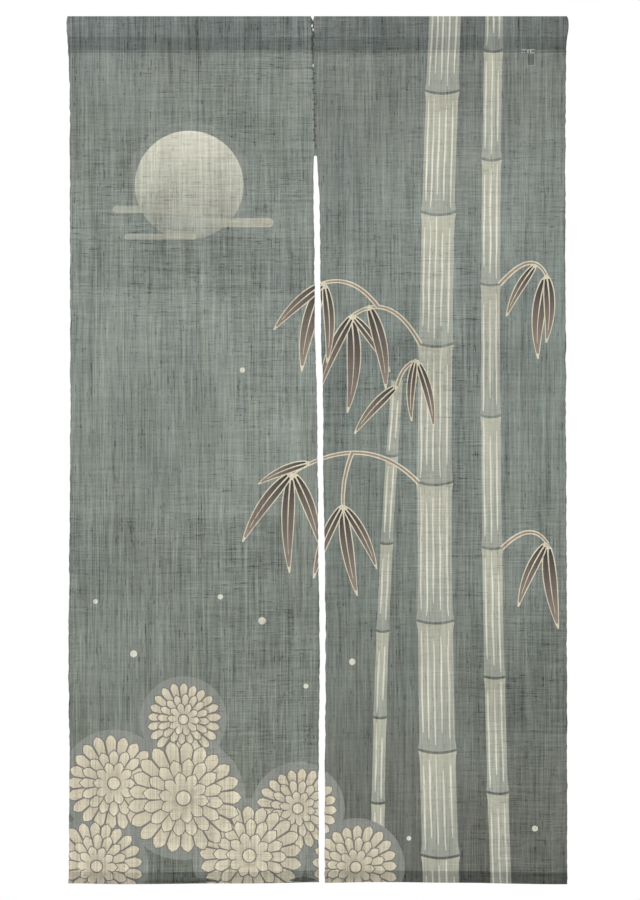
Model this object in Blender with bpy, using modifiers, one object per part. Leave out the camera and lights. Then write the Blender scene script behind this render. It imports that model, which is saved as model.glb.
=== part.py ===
"""A noren, the split curtain of a doorway: two widths of hand-dyed hemp cloth, side by side.

The cloth hangs as it does from a rod that is run through its top: flat to the eye, a little
uneven at the selvedges, with soft folds that deepen towards the hem. Each width is turned over
at the top into a sleeve for the rod, and turned up at the bottom into a hem. The two widths
stand edge to edge where they are sewn together, and part below that into the slit.

Metres, +Z up. The origin is the middle of the top edge, and the dyed face looks along -Y.
"""

import math
from collections import namedtuple

import bmesh
import bpy
from mathutils import Vector

MM = 0.001

# Driving sizes, in millimetres
DROP = 1500.0  # the top edge to the fold of the hem
CLOTH = 1.2  # one layer of the cloth
GAP = 0.3  # between two pieces that are sewn together
SLEEVE_DEPTH = 62.0  # the top edge to the sleeve's stitch line
SLEEVE_RADIUS = 9.0  # outside, where the sleeve rounds over the rod
SLEEVE_CLOSED = 1.5  # half the sleeve's depth at its stitch line, where front and back meet
SLEEVE_BELLY = 0.03  # how far its sides swell from straight, as a share of what they draw in
HEM_DEPTH = 20.0
HEM = 2.5  # the hem's thickness, turned twice and pressed
HEM_STEP = 0.6  # the height in which the cloth thickens to it
SEAM_END = 240.0  # the widths are sewn together from the top edge to here
TOP_CORNER = 8.0  # the height of the rounded corners at the top edge

# The grids that the cloth is drawn on
COLUMNS = 20  # squares across one width of cloth
ROW_HEIGHT = 42.0  # the tallest row of squares
SLEEVE_COLUMNS = 12
ARC_STEPS = 7  # from the sleeve's widest place to its top edge
TAPER_STEPS = 6  # from its widest place down to its stitch line
SEAM_WELD = 0.01  # points of the sleeve's loop that are nearer than this become one
FOLDED_EDGE = 40.0  # degrees: the cloth is drawn with an edge where it turns by more than this

# The outline as it hangs, a row for each height: how far below the top edge it is, and where
# the outer selvedges and the two that meet at the middle stand, left (-) or right (+) of it
Outline = namedtuple("Outline", "below left inner_left inner_right right")
OUTLINE = (
    Outline(below=0, left=-431.2, inner_left=-10.6, inner_right=-6.4, right=430.2),
    Outline(below=TOP_CORNER, left=-433.4, inner_left=-8.75, inner_right=-8.45, right=433.0),
    Outline(below=22, left=-433.4, inner_left=-8.45, inner_right=-8.15, right=433.4),
    Outline(below=54, left=-431.6, inner_left=-8.15, inner_right=-7.85, right=430.2),
    Outline(below=90, left=-429.4, inner_left=-7.75, inner_right=-7.45, right=429.8),
    Outline(below=160, left=-428.8, inner_left=-5.95, inner_right=-5.65, right=429.4),
    Outline(below=SEAM_END, left=-428.4, inner_left=-3.85, inner_right=-3.55, right=428.8),
    Outline(below=248, left=-428.3, inner_left=-6.2, inner_right=-0.6, right=428.8),
    Outline(below=325, left=-427.8, inner_left=-6.4, inner_right=3.4, right=428.8),
    Outline(below=460, left=-428.0, inner_left=-5.0, inner_right=4.8, right=428.8),
    Outline(below=575, left=-427.8, inner_left=-3.4, inner_right=6.8, right=429.4),
    Outline(below=660, left=-428.0, inner_left=-0.4, inner_right=9.8, right=429.8),
    Outline(below=800, left=-428.0, inner_left=1.2, inner_right=10.8, right=430.0),
    Outline(below=950, left=-429.8, inner_left=2.6, inner_right=13.4, right=431.0),
    Outline(below=1110, left=-430.8, inner_left=4.0, inner_right=14.4, right=430.9),
    Outline(below=1320, left=-429.4, inner_left=1.8, inner_right=13.0, right=431.6),
    Outline(below=DROP, left=-431.0, inner_left=2.4, inner_right=12.6, right=431.8),
)

# The soft folds, a row for each: the line that it runs down, how far it spreads to each side,
# how deep it is at the hem (+ away from the dyed face), how far below the top edge it begins,
# and how far its line has moved to the right at the hem
Fold = namedtuple("Fold", "middle spread depth begins lean")
FOLDS = {
    "left": (
        Fold(middle=-425, spread=75, depth=4.5, begins=150, lean=6),
        Fold(middle=-330, spread=80, depth=-5.0, begins=260, lean=-12),
        Fold(middle=-215, spread=85, depth=5.5, begins=90, lean=10),
        Fold(middle=-105, spread=75, depth=-4.5, begins=420, lean=14),
        Fold(middle=-15, spread=60, depth=5.0, begins=300, lean=8),
    ),
    "right": (
        Fold(middle=10, spread=65, depth=-4.5, begins=290, lean=10),
        Fold(middle=100, spread=85, depth=5.0, begins=200, lean=-8),
        Fold(middle=205, spread=75, depth=-5.5, begins=480, lean=12),
        Fold(middle=310, spread=90, depth=4.5, begins=120, lean=-14),
        Fold(middle=425, spread=70, depth=-5.0, begins=230, lean=-6),
    ),
}

# The hem's line, a row for each place along it: the drop there is this much more than DROP
HemLine = namedtuple("HemLine", "at more")
HEM_LINE = (
    HemLine(at=-440, more=0.4),
    HemLine(at=-230, more=0.9),
    HemLine(at=-40, more=-1.2),
    HemLine(at=50, more=-1.6),
    HemLine(at=215, more=-1.8),
    HemLine(at=330, more=0.6),
    HemLine(at=440, more=0.9),
)

# The two blank labels behind the sleeve's stitch line, by its right end
LABEL = 1.0  # their thickness
LABEL_ROWS = 4
LABEL_COLUMNS = 2
LABEL_LEAN = 0.04  # how fast they fall back to the cloth, below the stitch line
NAME_LABEL = dict(left=352.0, right=378.0, top=55.9, bottom=64.2)
CARE_LABEL = dict(left=362.5, right=376.0, top=64.6, bottom=85.4)

# The finish of each piece: colour as linear RGB, and roughness
HEMP_LEFT = dict(colour=(0.235, 0.262, 0.236), roughness=0.92)
HEMP_RIGHT = dict(colour=(0.205, 0.232, 0.208), roughness=0.92)
HEMP_DOUBLE = dict(colour=(0.165, 0.184, 0.176), roughness=0.92)
WOVEN_TAPE = dict(colour=(0.78, 0.79, 0.78), roughness=0.8)


def smooth(t):
    """From 0 to 1 as t goes from 0 to 1, level at both ends."""
    t = min(1.0, max(0.0, t))
    return t * t * (3 - 2 * t)


def along_table(table, key, column, at):
    """The column's value at this key, on a smooth curve through the table's rows."""
    keys = [getattr(row, key) for row in table]
    values = [getattr(row, column) for row in table]
    last = len(table) - 1
    at = min(keys[last], max(keys[0], at))
    n = max(i for i in range(last) if keys[i] <= at)

    def slope(i):
        low, high = max(0, i - 1), min(last, i + 1)
        return (values[high] - values[low]) / (keys[high] - keys[low])

    span = keys[n + 1] - keys[n]
    t = (at - keys[n]) / span
    return (
        values[n] * (1 + 2 * t) * (1 - t) ** 2
        + values[n + 1] * t * t * (3 - 2 * t)
        + span * (slope(n) * t * (1 - t) ** 2 - slope(n + 1) * t * t * (1 - t))
    )


def selvedge(column, below):
    """Where a selvedge stands: straight down from a top corner and the seam's end, else curved."""
    for upper, lower in zip(OUTLINE, OUTLINE[1:]):
        straight = upper.below < TOP_CORNER or upper.below == SEAM_END
        if straight and upper.below <= below <= lower.below:
            t = (below - upper.below) / (lower.below - upper.below)
            return (1 - t) * getattr(upper, column) + t * getattr(lower, column)
    return along_table(OUTLINE, "below", column, below)


def across_panel(side, fraction, below):
    """X of the point this fraction of the way from the width's left selvedge to its right one."""
    columns = ("left", "inner_left") if side == "left" else ("inner_right", "right")
    start, end = (selvedge(column, below) for column in columns)
    if below <= SEAM_END:  # the smooth curves may not close the gap between the widths
        middle = (selvedge("inner_left", below) + selvedge("inner_right", below)) / 2
        half = max(GAP / 2, (selvedge("inner_right", below) - selvedge("inner_left", below)) / 2)
        start, end = (start, middle - half) if side == "left" else (middle + half, end)
    return start + fraction * (end - start)


def fold_depth(side, x, below):
    """How far the folds carry the cloth away from the plane of the rod here."""
    depth = 0.0
    for fold in FOLDS[side]:
        grown = smooth((below - fold.begins) / (DROP - fold.begins))
        t = (x - fold.middle - fold.lean * grown) / fold.spread
        if abs(t) < 1:
            depth += fold.depth * grown * math.cos(t * math.pi / 2) ** 2
    return depth


def levels(top, bottom, also=()):
    """Distances below the top edge for the rows: the outline's own, and enough between them."""
    fixed = sorted({top, bottom, *also, *(r.below for r in OUTLINE if top < r.below < bottom)})
    found = [top]
    for low, high in zip(fixed, fixed[1:]):
        steps = math.ceil((high - low) / ROW_HEIGHT)
        found += [low + (high - low) * n / steps for n in range(1, steps + 1)]
    return found


def sheet(name, columns, rows, place, finish, doubled_from=math.inf):
    """A sheet of columns by rows squares, each of its points put where place(column, row) says.

    The points from the row doubled_from on are gathered in a group of that name.
    """
    bpy.ops.mesh.primitive_grid_add(x_subdivisions=columns, y_subdivisions=rows, size=2)
    piece = bpy.context.object
    piece.name = piece.data.name = name
    doubled = piece.vertex_groups.new(name="doubled")
    for vertex in piece.data.vertices:
        column = round((vertex.co.x + 1) / 2 * columns)
        row = round((1 - vertex.co.y) / 2 * rows)
        vertex.co = Vector(place(column, row)) * MM
        if row >= doubled_from:
            doubled.add([vertex.index], 1.0, "REPLACE")
    for owner in list(piece.users_collection):
        owner.objects.unlink(piece)
    bpy.data.collections["noren"].objects.link(piece)
    piece.data.materials.append(material(name, **finish))
    piece.data.shade_smooth()
    return piece


def material(name, colour, roughness):
    made = bpy.data.materials.new(name)
    made.use_nodes = True
    shader = made.node_tree.nodes["Principled BSDF"]
    shader.inputs["Base Color"].default_value = (*colour, 1.0)
    shader.inputs["Roughness"].default_value = roughness
    shader.inputs["Metallic"].default_value = 0.0
    return made


def thicken(piece, thickness, offset):
    """Gives the sheet its thickness: half to each side at offset 0, all of it inwards at -1."""
    shell = piece.modifiers.new("thickness", "SOLIDIFY")
    shell.thickness = thickness * MM
    shell.offset = offset
    shell.use_even_offset = True
    return shell


def panel(side, finish):
    """One width of cloth from the sleeve's stitch line to the hem, which is part of it."""
    top, hem_top = SLEEVE_DEPTH + GAP, DROP - HEM_DEPTH
    heights = levels(top, DROP, also=(hem_top - HEM_STEP, hem_top))
    hem_row = heights.index(hem_top)

    def place(column, row):
        below = heights[row]
        x = across_panel(side, column / COLUMNS, below)
        longer = along_table(HEM_LINE, "at", "more", x) * smooth((below - top) / (DROP - top))
        turned_up = (HEM - CLOTH) / 2 if row >= hem_row else 0.0
        return x, fold_depth(side, x, below) + turned_up, -below - longer

    squares = len(heights) - 1
    cloth = sheet(f"panel_{side}", COLUMNS, squares, place, finish, doubled_from=hem_row)
    shell = thicken(cloth, HEM, offset=0)
    shell.vertex_group = "doubled"
    shell.thickness_vertex_group = CLOTH / HEM


def sleeve_half_depth(below):
    """Half the sleeve's outer depth: round over the rod, then drawn in to the stitch line."""
    if below < SLEEVE_RADIUS:
        return math.sqrt(SLEEVE_RADIUS**2 - (SLEEVE_RADIUS - below) ** 2)
    taper = (below - SLEEVE_RADIUS) / (SLEEVE_DEPTH - SLEEVE_RADIUS)
    drawn_in = taper + SLEEVE_BELLY * math.sin(2 * math.pi * taper)
    return SLEEVE_RADIUS + (SLEEVE_CLOSED - SLEEVE_RADIUS) * drawn_in


def sleeve_section():
    """The outer section as (y, below): up the back, over, down the front and across the foot."""
    taper = (SLEEVE_DEPTH - SLEEVE_RADIUS) / TAPER_STEPS
    belows = [SLEEVE_DEPTH - taper * n for n in range(TAPER_STEPS)]
    quarter = math.pi / 2 / ARC_STEPS
    belows += [SLEEVE_RADIUS * (1 - math.sin(quarter * n)) for n in range(ARC_STEPS)]
    back = [(sleeve_half_depth(below), below) for below in belows]
    front = [(-y, below) for y, below in reversed(back)]
    return [*back, (0.0, 0.0), *front, back[0]]


def sleeve(side, finish):
    """The turned-over top of one width, sewn down at its foot and open at both ends."""
    section = sleeve_section()

    def place(column, row):
        y, below = section[row]
        return across_panel(side, column / SLEEVE_COLUMNS, below), y, -below

    cloth = sheet(f"sleeve_{side}", SLEEVE_COLUMNS, len(section) - 1, place, finish)
    loop = bmesh.new()
    loop.from_mesh(cloth.data)
    bmesh.ops.remove_doubles(loop, verts=loop.verts, dist=SEAM_WELD * MM)
    loop.to_mesh(cloth.data)
    loop.free()
    cloth.data.set_sharp_from_angle(angle=math.radians(FOLDED_EDGE))
    thicken(cloth, CLOTH, offset=-1)


def back_face(below, x):
    """Y of what a label lies on: the sleeve's back, then the air that it falls back across."""
    if below <= SLEEVE_DEPTH:
        return sleeve_half_depth(below)
    falling = SLEEVE_CLOSED - LABEL_LEAN * (below - SLEEVE_DEPTH)
    return max(falling, fold_depth("right", x, below) + CLOTH / 2)


def label(name, left, right, top, bottom):
    """A plain piece of woven tape that hangs on the back of the cloth."""

    def place(column, row):
        x = left + (right - left) * column / LABEL_COLUMNS
        below = top + (bottom - top) * row / LABEL_ROWS
        return x, back_face(below, x) + GAP + LABEL / 2, -below

    thicken(sheet(name, LABEL_COLUMNS, LABEL_ROWS, place, WOVEN_TAPE), LABEL, offset=0)


def main():
    for old in list(bpy.data.objects):
        bpy.data.objects.remove(old)
    noren = bpy.data.collections.new("noren")
    bpy.context.scene.collection.children.link(noren)
    panel("left", HEMP_LEFT)
    panel("right", HEMP_RIGHT)
    sleeve("left", HEMP_DOUBLE)
    sleeve("right", HEMP_DOUBLE)
    label("name_label", **NAME_LABEL)
    label("care_label", **CARE_LABEL)


main()
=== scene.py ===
import math
from collections import namedtuple

import bmesh
import bpy
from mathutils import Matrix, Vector, noise
from mathutils.geometry import delaunay_2d_cdt


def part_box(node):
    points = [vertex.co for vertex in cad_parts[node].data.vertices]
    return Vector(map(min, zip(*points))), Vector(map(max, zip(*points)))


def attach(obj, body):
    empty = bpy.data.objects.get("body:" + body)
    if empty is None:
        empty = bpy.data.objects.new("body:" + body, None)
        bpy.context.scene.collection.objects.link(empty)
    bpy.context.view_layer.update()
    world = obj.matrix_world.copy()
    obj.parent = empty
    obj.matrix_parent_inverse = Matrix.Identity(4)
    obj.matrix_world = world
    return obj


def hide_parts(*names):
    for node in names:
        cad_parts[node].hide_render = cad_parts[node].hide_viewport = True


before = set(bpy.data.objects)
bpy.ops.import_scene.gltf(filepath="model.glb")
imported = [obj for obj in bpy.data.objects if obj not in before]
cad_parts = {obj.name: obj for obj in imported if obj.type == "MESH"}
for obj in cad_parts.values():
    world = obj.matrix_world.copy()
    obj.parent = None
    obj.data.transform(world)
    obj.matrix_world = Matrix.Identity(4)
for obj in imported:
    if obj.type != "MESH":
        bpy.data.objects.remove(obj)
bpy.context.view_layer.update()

# The two widths of cloth
#
# Two lengths of slubby hand-woven hemp, dyed grey round a pale picture, hang side by side. Each
# is turned over at the top and stitched down as a sleeve for the rod, with its raw end turned
# in, and is turned up twice at the hem.

# Sizes are in millimetres. "below" is the distance under the top edge, and "along" is measured
# on the cloth, from the top edge down the front (+) or down the back (-)
MM = 0.001
DROP = 1500.0
SHEET = 0.45
FRONT_FACE = -0.6  # Y of the dyed face where the cloth hangs flat
CLOTH_FRONT = FRONT_FACE + SHEET / 2

# X of the outer selvedges, of the seam that joins the widths, and of the slit's two edges
Outer = namedtuple("Outer", "below left right")
OUTER = (
    Outer(0, -431.2, 430.2),
    Outer(8, -433.4, 433.0),
    Outer(22, -433.4, 433.4),
    Outer(54, -431.6, 430.2),
    Outer(90, -429.4, 429.8),
    Outer(160, -428.8, 429.4),
    Outer(240, -428.4, 428.8),
    Outer(460, -428.0, 428.8),
    Outer(575, -427.8, 429.4),
    Outer(800, -428.0, 430.0),
    Outer(950, -429.8, 431.0),
    Outer(1110, -430.8, 430.9),
    Outer(1320, -429.4, 431.6),
    Outer(DROP, -431.0, 431.8),
)
Seam = namedtuple("Seam", "below at")
SEAM = (
    Seam(0, -8.6),
    Seam(54, -8.0),
    Seam(90, -7.6),
    Seam(160, -5.8),
    Seam(240, -3.7),
)
Slit = namedtuple("Slit", "below inner_left inner_right")
SLIT = (
    Slit(240, -6.3, -1.0),
    Slit(283, -6.9, 1.0),
    Slit(325, -6.5, 3.4),
    Slit(460, -5.0, 5.2),
    Slit(575, -3.8, 6.6),
    Slit(660, -1.0, 9.6),
    Slit(800, 0.2, 10.2),
    Slit(950, 2.0, 12.6),
    Slit(1110, 3.6, 14.0),
    Slit(1320, 1.8, 12.8),
    Slit(DROP, 2.2, 12.6),
)
SEAM_END = 241.5
SEAM_GAP = 0.3
SLIT_OPENS = 0.6  # the slit's square top opens over this much
SLIT_CALM = 60.0  # under its top its edges are held straight for this long

# The selvedges wander by this much either way, over about this length
Wander = namedtuple("Wander", "by over")
WANDER = (Wander(by=0.9, over=9.0), Wander(by=0.8, over=31.0))
SEAM_WANDER = (Wander(by=1.0, over=10.0), Wander(by=0.6, over=37.0))
SEAM_CALM = 8.0  # above the slit the seam runs straight for this long

# Where the laced selvedges gape: at this height, over this much, this wide, this far aside
Gape = namedtuple("Gape", "below over wide aside")
GAPES = (
    Gape(below=0.0, over=10.5, wide=5.0, aside=0.0),
    Gape(below=16.5, over=4.6, wide=2.4, aside=-1.0),
    Gape(below=23.0, over=3.2, wide=2.2, aside=1.2),
    Gape(below=85.3, over=2.4, wide=1.5, aside=0.2),
)

# The soft folds of each width: the line that each runs down, how far it spreads to each side,
# how deep it is at the hem (+ away from the dyed face), where it begins, and how far it leans
Fold = namedtuple("Fold", "middle spread depth begins lean")
FOLDS = {
    "left": (
        Fold(-425, 75, 4.5, 150, 6),
        Fold(-330, 80, -5.0, 260, -12),
        Fold(-215, 85, 5.5, 90, 10),
        Fold(-105, 75, -4.5, 420, 14),
        Fold(-15, 60, 5.0, 300, 8),
    ),
    "right": (
        Fold(10, 65, -4.5, 290, 10),
        Fold(100, 85, 5.0, 200, -8),
        Fold(205, 75, -5.5, 480, 12),
        Fold(310, 90, 4.5, 120, -14),
        Fold(425, 70, -5.0, 230, -6),
    ),
}

# How much further than the drop the hem hangs, across both widths
HemLine = namedtuple("HemLine", "at more")
HEM_LINE = (
    HemLine(-440, 0.4),
    HemLine(-230, 0.9),
    HemLine(-40, -1.2),
    HemLine(50, -1.6),
    HemLine(215, -1.8),
    HemLine(330, 0.6),
    HemLine(440, 0.9),
)

STITCHED = 62.0  # the top edge to the fold at the sleeve's foot
SLEEVE_HALF = 9.0  # half the sleeve's depth over the rod, to its outside
ROUND = SLEEVE_HALF - SHEET / 2  # its radius there, at the middle of the cloth
FOOT = 0.62  # half the distance between front and back at the sleeve's foot
BELLY = 0.03  # of the narrowing to the foot, by which each face bends in and then out
ALLOWANCE = 26.0  # turned in at the sleeve's foot, between front and back
LAYER = 0.62  # from one layer to the next where they lie together
EASE = 14.0  # under the sleeve's foot, over which the cloth takes up its folds
HEM = 20.0
HEM_TURNING = 17.0  # turned in at the top of the hem

quarter = ROUND * math.pi / 2
to_foot = quarter + math.hypot(STITCHED - ROUND, ROUND - FOOT)
small_turn = math.pi * LAYER / 2
to_hem_fold = to_foot + DROP - STITCHED - LAYER
hem_turn = math.pi * LAYER
hem_back = to_hem_fold + hem_turn + HEM - LAYER
last_edge = hem_back + small_turn + HEM_TURNING
first_edge = -to_foot - small_turn - ALLOWANCE


def smooth(t):
    t = min(1.0, max(0.0, t))
    return t * t * (3 - 2 * t)


def spread(low, high, steps):
    """Evenly spaced values from low to high, both ends included."""
    return [low + (high - low) * n / steps for n in range(steps + 1)]


def along_table(table, key, column, at):
    """The column's value at this key, on a smooth curve through the table's rows."""
    keys = [getattr(row, key) for row in table]
    values = [getattr(row, column) for row in table]
    last = len(table) - 1
    at = min(keys[last], max(keys[0], at))
    n = max(i for i in range(last) if keys[i] <= at)

    def slope(i):
        low, high = max(0, i - 1), min(last, i + 1)
        return (values[high] - values[low]) / (keys[high] - keys[low])

    span = keys[n + 1] - keys[n]
    t = (at - keys[n]) / span
    return (
        values[n] * (1 + 2 * t) * (1 - t) ** 2
        + values[n + 1] * t * t * (3 - 2 * t)
        + span * (slope(n) * t * (1 - t) ** 2 - slope(n + 1) * t * t * (1 - t))
    )


# Each edge reads its wander from a row of the noise that is its own
NOISE_ROW = {"left": 4.5, "right": 5.5, "inner_left": 10.5, "inner_right": 11.5, "seam": 3.5}


def wander(table, edge, below):
    places = [Vector((below / row.over, NOISE_ROW[edge], 0)) for row in table]
    return sum(row.by * noise.noise(place) for row, place in zip(table, places))


def seam_at(below):
    """X of the line that the two inner selvedges share, down to the slit."""
    calm = smooth((SEAM_END - below) / SEAM_CALM)
    return along_table(SEAM, "below", "at", below) + wander(SEAM_WANDER, "seam", below) * calm


def selvedge(edge, below):
    """X of a selvedge at this height, with the small wander of a hand-woven edge."""
    if edge in ("left", "right"):
        return along_table(OUTER, "below", edge, below) + wander(WANDER, edge, below)
    side = -1 if edge == "inner_left" else 1
    x = seam_at(below) + side * SEAM_GAP / 2
    for gape in GAPES:
        opened = smooth(1 - abs(below - gape.below) / gape.over)
        x += opened * (gape.aside + side * gape.wide / 2)
    if below <= SEAM_END:
        return x
    loose = smooth((below - SEAM_END) / SLIT_CALM)
    slit = along_table(SLIT, "below", edge, below) + loose * wander(WANDER, edge, below)
    return x + (slit - x) * smooth((below - SEAM_END) / SLIT_OPENS)


def fold_depth(side, x, below):
    """How far the folds carry the cloth away from the plane of the rod here."""
    depth = 0.0
    for fold in FOLDS[side]:
        grown = smooth((below - fold.begins) / (DROP - fold.begins))
        t = (x - fold.middle - fold.lean * grown) / fold.spread
        if abs(t) < 1:
            depth += fold.depth * grown * math.cos(t * math.pi / 2) ** 2
    return depth


def sleeve_at(distance):
    """(half the depth, below) of the sleeve, this far from its top down either face."""
    if distance < quarter:
        turn = distance / ROUND
        return ROUND * math.sin(turn), ROUND * (1 - math.cos(turn))
    t = (distance - quarter) / (to_foot - quarter)
    drawn_in = t + BELLY * math.sin(2 * math.pi * t)
    return ROUND - (ROUND - FOOT) * drawn_in, ROUND + (STITCHED - ROUND) * t


def section(along):
    """(away, below, taken up) of the cloth here; the folds are taken up from 0 to 1."""
    if along < -to_foot:
        past = -to_foot - along
        turn = min(math.pi, past / (LAYER / 2))
        up = max(0.0, past - small_turn)
        away = sleeve_at(to_foot - up)[0] - LAYER / 2 * (1 - math.cos(turn))
        return away, STITCHED - up + LAYER / 2 * math.sin(turn), 0.0
    if along < to_foot:
        half, below = sleeve_at(abs(along))
        return math.copysign(half, -along), below, 0.0
    if along < to_hem_fold:
        below = STITCHED + along - to_foot
        taken_up = smooth((below - STITCHED) / EASE)
        return CLOTH_FRONT * taken_up - FOOT * (1 - taken_up), below, taken_up
    past = along - to_hem_fold
    if past < hem_turn:
        turn = past / LAYER
        return CLOTH_FRONT + LAYER * (1 - math.cos(turn)), DROP - LAYER * (1 - math.sin(turn)), 1.0
    if along < hem_back:
        return CLOTH_FRONT + 2 * LAYER, DROP - LAYER - (past - hem_turn), 1.0
    past = along - hem_back
    turn = min(math.pi, past / (LAYER / 2))
    down = max(0.0, past - small_turn)
    away = CLOTH_FRONT + 2 * LAYER - LAYER / 2 * (1 - math.cos(turn))
    return away, DROP - HEM - LAYER / 2 * math.sin(turn) + down, 1.0


def hang(side, x, along):
    """The place in space of this point of the cloth, in millimetres."""
    away, below, taken_up = section(along)
    y = away + fold_depth(side, x, below) * taken_up
    longer = along_table(HEM_LINE, "at", "more", x) * smooth((below - STITCHED) / (DROP - STITCHED))
    return Vector((x, y, -below - longer))


def along_front(below):
    """How far along the cloth a point of the front is that hangs this far below the top edge."""
    if below < 0:
        return below
    if below < ROUND:
        return ROUND * math.acos(1 - below / ROUND)
    if below < STITCHED:
        return quarter + (to_foot - quarter) * (below - ROUND) / (STITCHED - ROUND)
    return to_foot + below - STITCHED


# The dyed picture, with the painted light of the care label behind the cloth, each area an outline in (x,
# below) on the hung cloth. Paste keeps the dye off the pale ones, and the last one drawn lies on top
DyeAndPaintedLight = namedtuple("DyeAndPaintedLight", "first last start end covers")
dye_and_painted_light_areas = []


def linear(hex_colour):
    """An sRGB hex colour as linear RGB."""
    parts = [int(hex_colour[n : n + 2], 16) / 255 for n in (1, 3, 5)]
    return Vector([p / 12.92 if p <= 0.04045 else ((p + 0.055) / 1.055) ** 2.4 for p in parts])


def draw(outline, first, last=None, start=(0, 0), end=(0, 1), covers=(1.0, 1.0)):
    """Adds an area whose colour and cover run from the first at start to the last at end."""
    colours = linear(first), linear(last or first)
    dye_and_painted_light_areas.append((outline, DyeAndPaintedLight(*colours, Vector(start), Vector(end), covers)))


def ribbon(spine, half_widths):
    """The outline of a band along a line of points."""
    sides = [], []
    for n, (x, below) in enumerate(spine):
        before, after = spine[max(0, n - 1)], spine[min(len(spine) - 1, n + 1)]
        across = Vector((after[1] - before[1], before[0] - after[0])).normalized() * half_widths[n]
        sides[0].append((x + across.x, below + across.y))
        sides[1].append((x - across.x, below - across.y))
    return sides[0] + sides[1][::-1]


def circle(x, below, radius, points):
    turns = [2 * math.pi * n / points for n in range(points)]
    return [(x + radius * math.cos(a), below + radius * math.sin(a)) for a in turns]


CREAM = "#DBD9C9"
PALE = "#BAB9A8"
WASH = "#A2A69B"
HALO = "#8D918A"
BEIGE = "#B9AF9A"
LIGHT = "#D9D1B9"
MAUVE_GREY = "#7E7872"
CHARCOAL = "#2E2D2A"
MAUVE_BROWN = "#96877B"
DEW = "#D6D4C5"

# The care label behind the right sleeve, painted on the front of the sheer cloth: a painted shadow where it
# keeps the light off the cloth before it, and painted light along its pale turned edges
PaintedLabelLight = namedtuple("PaintedLabelLight", "grown tint cover")
PAINTED_LABEL_LIGHT = (PaintedLabelLight(grown=0.5, tint="#B4BAB6", cover=0.34), PaintedLabelLight(grown=-1.0, tint="#454A4F", cover=0.36))
care_low, care_high = (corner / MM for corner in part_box("care_label"))
for label_light in PAINTED_LABEL_LIGHT:
    left, right = care_low.x - label_light.grown, care_high.x + label_light.grown
    top, foot = -care_high.z - label_light.grown, label_light.grown - care_low.z
    corners = [(left, top), (right, top), (right, foot), (left, foot)]
    draw(corners, label_light.tint, covers=(label_light.cover, label_light.cover))

# The moon, which fades downward into bars of mist
MOON = Vector((-222, 292))
MOON_RADIUS = 94
MOON_RING = 15
MOON_POINTS = 72
MOON_COVERS = (0.95, 0.35)
RING_COVERS = (0.5, 0.0)
Mist = namedtuple("Mist", "start end below half")
MIST = (
    Mist(start=-348, end=-176, below=334, half=6.5),
    Mist(start=-268, end=-84, below=357, half=8),
    Mist(start=-330, end=-214, below=381, half=5),
)
MIST_COVERS = (0.95, 0.8)
MIST_STEPS = 8  # round each end of a bar

up, down = Vector((0, -MOON_RADIUS)), Vector((0, MOON_RADIUS))
halo = circle(*MOON, MOON_RADIUS + MOON_RING, MOON_POINTS)
draw(halo, HALO, HALO, MOON + up / 2, MOON + down, RING_COVERS)
draw(circle(*MOON, MOON_RADIUS, MOON_POINTS), CREAM, PALE, MOON + up, MOON + down, MOON_COVERS)
for mist in MIST:
    bar = []
    for end, turned in ((mist.start, math.pi / 2), (mist.end, -math.pi / 2)):
        turns = [turned + math.pi * n / MIST_STEPS for n in range(MIST_STEPS + 1)]
        bar += [(end + mist.half * math.cos(a), mist.below + mist.half * math.sin(a)) for a in turns]
    draw(bar, WASH, PALE, start=(mist.start, 0), end=(mist.end, 0), covers=MIST_COVERS)

# The bamboo culms: X of the middle at the top, half way down and at the foot, the width, the
# heights of the joints, and where the drawn lines run, as shares of half the width
Culm = namedtuple("Culm", "top x_top x_middle x_foot width joints lines")
CULMS = (
    Culm(-112, 308, 300, 320, 36, (58, 246, 462, 690, 918, 1142, 1342), (-0.72, -0.05, 0.6)),
    Culm(-112, 226, 203, 216, 63, (128, 338, 566, 806, 1046, 1270, 1452), (-0.8, -0.46, -0.1, 0.3, 0.72)),
    Culm(628, 138, 112, 104, 23, (760, 912, 1064, 1214, 1362, 1484), (-0.5, 0.4)),
)
CULM_FOOT = 1560  # they run on round the hem
CULM_TAPER = 0.14  # how much narrower they are at the top
CULM_STEP = 13
CULM_COVERS = (0.95, 0.9)
JOINT_GAP = 4.5
JOINT_SAG = 0.09  # how far the joints' lines bow, as a share of the culm's width
JOINT_FLARE = 0.09
FLARE_OVER = 11
BOW_STEPS = 8
LINE_WIDTH = 3.1
LINE_STEP = 15
LEAST_STEPS = 4
LINE_SWAY = Wander(by=1.1, over=60)
LINE_CUT = 0.35  # of a step, from each end to its point
LINE_BLUNT = 0.35  # the smaller, the blunter its ends

# How far a drawn line stops short of a joint: at least so far, and 0 to ways - 1 steps further
Short = namedtuple("Short", "least step turn ways")
SHORT_OF_TOP = Short(least=7, step=9, turn=3, ways=4)
SHORT_OF_FOOT = Short(least=5, step=11, turn=2, ways=3)


def culm_middle(culm, below):
    t = (below - culm.top) / (CULM_FOOT - culm.top)
    ends = (1 - t) * (1 - 2 * t) * culm.x_top + t * (2 * t - 1) * culm.x_foot
    return ends + 4 * t * (1 - t) * culm.x_middle


def culm_half(culm, below):
    nearest = min(abs(below - joint) for joint in culm.joints)
    taper = 1 - CULM_TAPER + CULM_TAPER * (below - culm.top) / (CULM_FOOT - culm.top)
    return culm.width / 2 * taper * (1 + JOINT_FLARE * math.exp(-((nearest / FLARE_OVER) ** 2)))


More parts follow.
